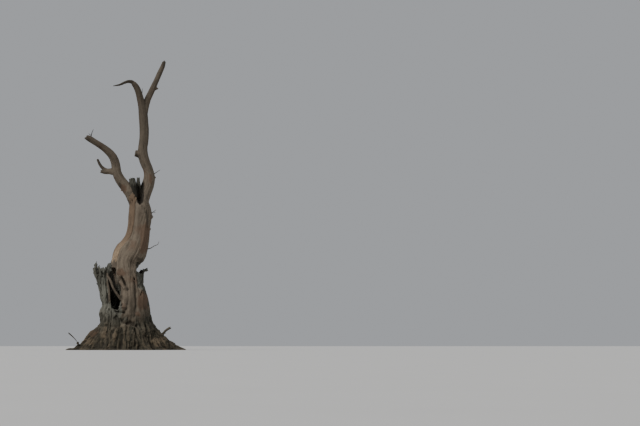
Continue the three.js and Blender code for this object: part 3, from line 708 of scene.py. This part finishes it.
# The broken leader, the hooked tip and the twigs are worked up one by one, on finer voxels.
thin = {
    "leader_stub_left": {"name": "leaderStubLeft", "line": "leaderLeft", "voxel": 0.0045, "depth": 0.014},
    "leader_stub_right": {"name": "leaderStubRight", "line": "leaderRight", "voxel": 0.004, "depth": 0.01},
    "hooked_tip": {"name": "hookedTip", "line": "stem", "voxel": 0.003, "depth": 0.003},
    "twig_left_tip": {"name": "twigLeftTip", "voxel": 0.0015, "depth": 0.0012},
    "twig_right_bend": {"name": "twigRightBend", "voxel": 0.002, "depth": 0.0014},
    "twig_middle": {"name": "twigMiddle", "voxel": 0.0015, "depth": 0.0012},
    "twig_low": {"name": "twigLow", "voxel": 0.002, "depth": 0.0016},
    "twig_upper": {"name": "twigUpper", "voxel": 0.0015, "depth": 0.0012},
}


# Crumbs that the voxels broke off are left out.
def oneIsland(piece):
    points = pointsOf(piece)
    nearest = np.linalg.norm(points - points.mean(0), axis=1).argmin()
    pick(piece)
    bpy.ops.object.mode_set(mode="EDIT")
    bpy.ops.mesh.select_mode(type="VERT")
    bpy.ops.mesh.select_all(action="DESELECT")
    bpy.ops.object.mode_set(mode="OBJECT")
    piece.data.vertices[int(nearest)].select = True
    bpy.ops.object.mode_set(mode="EDIT")
    bpy.ops.mesh.select_linked()
    bpy.ops.mesh.select_all(action="INVERT")
    bpy.ops.mesh.delete(type="VERT")
    bpy.ops.object.mode_set(mode="OBJECT")


def thinPiece(node, spec):
    piece = nodeCopy(node, spec["name"])
    applied(piece, "REMESH", mode="VOXEL", voxel_size=spec["voxel"])
    oneIsland(piece)
    rounded(piece, 6)
    points, depth = pointsOf(piece), spec["depth"]
    if "line" in spec:
        place, size = grainPlace(points, spec["line"])[0], (0.2, 0.5)
    else:
        place, size = points, (6 * depth, 30 * depth)
    relief = depth * (waves(place, *size) - grooves(place, *size, 0.18))
    movePoints(piece, points + pointsOf(piece, "normal") * relief[:, None])
    values = dict.fromkeys(masks, np.zeros(len(points)))
    values["deep"] = values["deep"] + 0.5
    # The stubs' feet are painted near-black: rotten wood, with painted shade where they rise from the
    # cleft.
    if "Stub" in spec["name"]:
        values["rot"] = 0.75 * (1 - ramp(points[:, 2], 3.75, 3.95))
    else:
        values["sound"] = np.ones(len(points))
    if spec["name"] == "hookedTip":
        values["dark"] = np.full(len(points), 0.8)
    for name in masks:
        keep(piece, name, values[name])
    for name in ("grain", "outer"):
        keep(piece, name, place)
    pick(piece)
    bpy.ops.object.shade_smooth_by_angle(angle=math.radians(60))
    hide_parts(node)
    return piece


for node, spec in thin.items():
    made[spec["name"]] = thinPiece(node, spec)
print("thin limbs and twigs done")


# A socket whose sums are written as expressions.
class Wire:
    def __init__(self, socket):
        self.socket = socket
        self.tree = socket.id_data

    def put(self, place, value):
        if isinstance(value, Wire):
            self.tree.links.new(value.socket, place)
        else:
            place.default_value = value

    def math(self, operation, first, second=0.0):
        node = self.tree.nodes.new("ShaderNodeMath")
        node.operation = operation
        self.put(node.inputs[0], first)
        self.put(node.inputs[1], second)
        return Wire(node.outputs[0])

    def __add__(self, other):
        return self.math("ADD", self, other)

    def __sub__(self, other):
        return self.math("SUBTRACT", self, other)

    def __rsub__(self, other):
        return self.math("SUBTRACT", other, self)

    def __mul__(self, other):
        return self.math("MULTIPLY", self, other)

    def __abs__(self):
        return self.math("ABSOLUTE", self)

    __radd__ = __add__
    __rmul__ = __mul__


class Finish:
    def __init__(self, name):
        self.material = bpy.data.materials.new(name)
        self.material.use_nodes = True
        self.tree = self.material.node_tree
        self.tree.nodes.clear()

    # Any node: its type, its settings, then the values or links of its sockets, and which output to use.
    def node(self, kind, settings=None, sockets=None, output=0):
        node = self.tree.nodes.new("ShaderNode" + kind)
        for name, value in (settings or {}).items():
            setattr(node, name, value)
        for name, value in (sockets or {}).items():
            if isinstance(value, Wire):
                self.tree.links.new(value.socket, node.inputs[name])
            else:
                node.inputs[name].default_value = value
        return Wire(node.outputs[output]) if node.outputs else None

    def attribute(self, name, output="Fac"):
        return self.node("Attribute", {"attribute_name": name}, output=output)

    def scaled(self, vector, scale):
        return self.node("Mapping", {"vector_type": "POINT"}, {"Vector": vector, "Scale": scale})

    def noise(self, vector, scale=1.0, detail=4.0, rough=0.55):
        return self.node("TexNoise", None, {"Vector": vector, "Scale": scale, "Detail": detail,
                                            "Roughness": rough})

    def ramp(self, value, low, high):
        return self.node("MapRange", {"interpolation_type": "SMOOTHSTEP"},
                         {"Value": value, "From Min": low, "From Max": high})

    def mix(self, factor, first, second):
        return self.node("Mix", {"data_type": "RGBA"}, {"Factor": factor, 6: first, 7: second}, output=2)

    def done(self, colour, roughness, bump, strength, distance):
        normal = self.node("Bump", None, {"Height": bump, "Strength": strength, "Distance": distance})
        shader = self.node("BsdfPrincipled", None, {"Base Color": colour, "Roughness": roughness,
                                                    "Normal": normal, "Specular IOR Level": 0.2})
        self.node("OutputMaterial", None, {"Surface": shader})
        return self.material


def rgb(red, green, blue):
    return (red, green, blue, 1.0)


woodLook = {
    "bleached": rgb(0.185, 0.15, 0.11),
    "grey": rgb(0.095, 0.075, 0.055),
    "reddish": rgb(0.11, 0.062, 0.038),
    "shell": rgb(0.04, 0.039, 0.03),
    "shellPale": rgb(0.13, 0.126, 0.102),
    "foot": rgb(0.034, 0.03, 0.02),
    "footPale": rgb(0.11, 0.084, 0.054),
    "torn": rgb(0.4, 0.3, 0.195),
    "tornDark": rgb(0.2, 0.135, 0.085),
    "tornHigh": rgb(0.128, 0.087, 0.057),
    # near-black for the inside of the hollow and the cleft of rot: painted shade
    "hollow": rgb(0.01, 0.0085, 0.006),
    # dark for cracks and crevices, where it is painted shade, and for the dark between fibres
    "crack": rgb(0.022, 0.018, 0.013),
    "crown": rgb(0.042, 0.034, 0.024),
}


def woodMaterial(name, look):
    make = Finish(name)
    grain = make.attribute("grain", "Vector")
    spot = make.node("TexCoord", output="Object")
    outer = make.attribute("outer", "Vector")
    blend = make.attribute("joint")
    soundMask, hollowShadeMask = make.attribute("sound"), make.attribute("hollow")
    rotAndShadeMask, tornMask = make.attribute("rot"), make.attribute("torn")
    ruddy, pale, dark = (make.attribute(name) for name in ("ruddy", "pale", "dark"))
    deep = make.attribute("deep")
    high = make.node("SeparateXYZ", None, {"Vector": spot}, output=2)
    ownGrain = make.ramp(soundMask, 0.25, 0.75)

    # Streaks and fibres run with the grain, and lose it round a joint.
    def along(scale, detail):
        inLimb = make.noise(make.scaled(grain, scale), detail=detail)
        inBole = make.noise(make.scaled(outer, scale), detail=detail)
        return inBole + (inLimb - inBole) * ownGrain

    ownStreak, jointStreak = along((26, 26, 1.2), 5), make.noise(make.scaled(spot, (16, 16, 7)), detail=5)
    streak = ownStreak * (1 - blend) + jointStreak * blend
    ownFibre, jointFibre = along((170, 170, 7), 3), make.noise(make.scaled(spot, (90, 90, 50)))
    fibre = ownFibre * (1 - blend) + jointFibre * blend
    patch = make.noise(spot, 2.1, 5, 0.6)
    blotch = make.noise(spot, 9.0, 4, 0.6)
    crumb = make.noise(spot, 60.0, 4, 0.65)
    edgeNoise = (blotch - 0.5) * 0.5

    # Drying cracks, long and fine, drawn dark: painted shade inside them.
    broken = make.ramp(make.noise(spot, 5.0, 3), 0.42, 0.58) * (1 - make.ramp(blend, 0.0, 0.3)) * ownGrain
    checks = abs(make.noise(make.scaled(grain, (13, 13, 0.35)), detail=1) - 0.5)
    crack = (1 - make.ramp(checks, 0.0, 0.014)) * broken
    checksFine = abs(make.noise(make.scaled(grain, (40, 40, 1.0)), detail=0) - 0.5)
    fineCrackShade = (1 - make.ramp(checksFine, 0.0, 0.022)) * broken

    # The bare wood of stem and limbs: bleached and grey, reddish in places, dark in the crown.
    bare = make.mix(make.ramp(streak * 0.6 + blotch * 0.25 + patch * 0.15, 0.33, 0.66), look["grey"],
                    look["bleached"])
    bare = make.mix(make.ramp(patch + ruddy * 0.3, 0.5, 0.72) * 0.65, bare, look["reddish"])
    inCrown = make.ramp(high + patch * 2, 4.2, 6.4)
    bare = make.mix(inCrown * 0.55, bare, look["crown"])
    bare = make.mix(dark * 0.75, bare, look["crown"])
    lowDown = 1 - make.ramp(high + patch * 0.7 + streak * 0.3, 1.1, 1.9)
    bare = make.mix(lowDown * 0.6 * (1 - pale * 0.6), bare, look["foot"])

    # The old shell of the bole, and its foot.
    shell = make.mix(make.ramp(streak + blotch * 0.5 + pale * 0.35, 0.62, 0.98), look["shell"],
                     look["shellPale"])
    foot = make.mix(make.ramp(streak * 0.7 + blotch * 0.4 + patch * 0.3 + pale * 0.3, 0.66, 1.0),
                    look["foot"], look["footPale"])
    foot = make.mix(ruddy * 0.5, foot, look["reddish"])
    ridge = 1 - make.ramp(deep, 0.1, 0.45)
    shell = make.mix(ridge * 0.5, shell, look["shellPale"])
    foot = make.mix(ridge * 0.4, foot, look["footPale"])
    old = make.mix(1 - make.ramp(high + patch * 0.6 + blotch * 0.3, 0.75, 1.5), shell, foot)
    colour = make.mix(make.ramp(soundMask + edgeNoise, 0.2, 0.8), old, bare)

    # The torn face, the painted shade of the hollow, dark rot with painted shade in its cleft, then cracks
    # and crevices over all, darkened with painted shade.
    tornWood = make.mix(make.ramp(fibre + streak, 0.8, 1.2), look["tornDark"], look["torn"])
    tornWood = make.mix(make.ramp(high + streak * 0.3, 2.2, 2.8) * 0.9, tornWood, look["tornHigh"])
    colour = make.mix(make.ramp(tornMask + edgeNoise * 0.6, 0.3, 0.7), colour, tornWood)
    paintedHollowShade = make.ramp(hollowShadeMask + edgeNoise, 0.25, 0.85)
    rotAndShadeDark = make.ramp(rotAndShadeMask + edgeNoise * 0.6, 0.25, 0.85)
    colour = make.mix(paintedHollowShade * 0.95, colour, look["hollow"])
    colour = make.mix(rotAndShadeDark * 0.9, colour, look["hollow"])
    colour = make.mix(crack * 0.5 + fineCrackShade * 0.3, colour, look["crack"])
    # Crevices take the dark crack colour: painted shade.
    colour = make.mix(make.ramp(deep, 0.55, 0.95) * 0.75, colour, look["crack"])
    colour = make.mix((1 - make.ramp(fibre, 0.35, 0.6)) * 0.25, colour, look["crack"])
    height = streak * 0.5 + fibre * 0.3 + crumb * 0.25 - crack * 0.8 - fineCrackShade * 0.35 + blotch * 0.4
    roughness = 0.8 + blotch * 0.2
    return make.done(colour, roughness, height, 0.6, 0.014)


oldWood = woodMaterial("oldWood", woodLook)
bareWood = woodMaterial("bareWood", woodLook)
rottenWood = woodMaterial("rottenWood", woodLook)
twigLook = {**woodLook, "bleached": rgb(0.075, 0.062, 0.048), "grey": rgb(0.035, 0.03, 0.024)}
twigWood = woodMaterial("twigWood", twigLook)
slots = {
    "old_wood": (oldWood, ("foot", "hollowBole", "stem", "splinters")),
    "rotten_wood": (rottenWood, ("leaderStubLeft", "leaderStubRight", "leftSpurStub")),
    "twigs": (twigWood, ("twigLeftTip", "twigRightBend", "twigMiddle", "twigLow", "twigUpper")),
    "bare_wood": (bareWood, ("leftBough", "rightBough", "upperLeftArm", "upperRightArm", "leftSpur",
                             "hookedTip")),
}
for slot, (material, names) in slots.items():
    for name in names:
        made[name].data.materials.append(material)
        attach(made[name], "root")
print("materials done")

# A pale floor that runs to the horizon, an even sky and soft light.
studio = {
    "floor": rgb(0.6, 0.59, 0.57),
    "floorDark": rgb(0.5, 0.49, 0.47),
    "sky": rgb(0.62, 0.64, 0.67),
    "skyStrength": 0.6,
    "lights": [  # where each stands, how bright and how wide it is
        {"at": (-6.0, -6.0, 7.0), "power": 2.8, "spread": 25},
        {"at": (8.0, -3.0, 4.0), "power": 0.3, "spread": 60},
    ],
}
pick(camera)
bpy.ops.mesh.primitive_plane_add(size=1600, location=(0, 0, 0))
floor = bpy.context.object
floor.name = "floor"
floorMake = Finish("paleFloor")
grit = floorMake.noise(floorMake.node("TexCoord", output="Object"), 3.0)
floorColour = floorMake.mix(grit * 0.3, studio["floor"], studio["floorDark"])
floor.data.materials.append(floorMake.done(floorColour, 0.9, grit, 0.02, 0.01))

sky = bpy.data.worlds.new("sky")
sky.use_nodes = True
background = sky.node_tree.nodes["Background"]
background.inputs["Color"].default_value = studio["sky"]
background.inputs["Strength"].default_value = studio["skyStrength"]
scene.world = sky
for k, lamp in enumerate(studio["lights"]):
    data = bpy.data.lights.new("softLight" + str(k), "SUN")
    data.energy, data.angle = lamp["power"], math.radians(lamp["spread"])
    light = bpy.data.objects.new(data.name, data)
    light.location = lamp["at"]
    light.rotation_euler = (-light.location).to_track_quat("-Z", "Y").to_euler()
    scene.collection.objects.link(light)
print("studio done")
